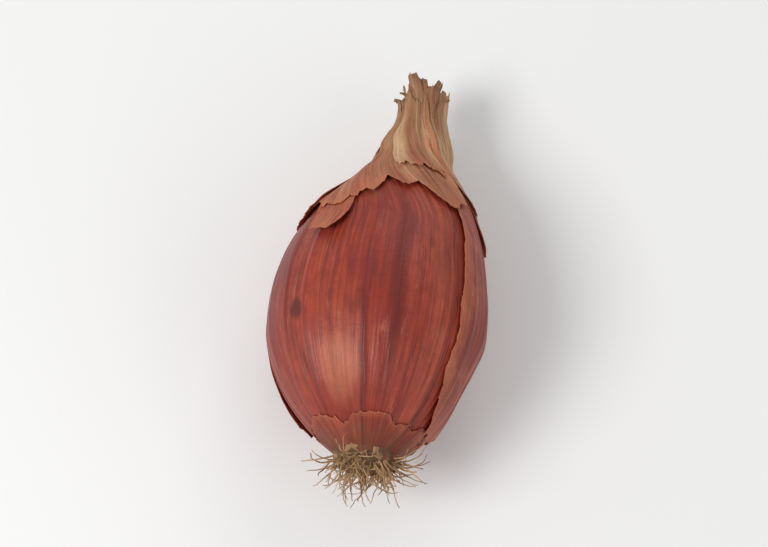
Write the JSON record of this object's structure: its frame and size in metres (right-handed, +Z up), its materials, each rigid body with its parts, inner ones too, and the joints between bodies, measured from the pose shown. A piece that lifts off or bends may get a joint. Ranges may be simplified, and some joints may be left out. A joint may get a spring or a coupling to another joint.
{
  "type": "pink shallot",
  "caption": "Whole unpeeled pink shallot lying on its side, with veined dry skin, a twisted papery neck and a tuft of short dry roots.",
  "frame": {"origin": "centre of the small flat spot that the bulb rests on", "axes": "+Z up; +Y along the bulb, from its root end to its neck; +X to its side"},
  "size_m": [0.0317, 0.0668, 0.0286],
  "materials": {
    "skin": "satin",
    "dry_skin": "matte",
    "papery_neck": "matte",
    "root_plate": "matte",
    "roots": "matte"
  },
  "bodies": {
    "root": {"shallot": "skin"}
  },
  "joints": []
}
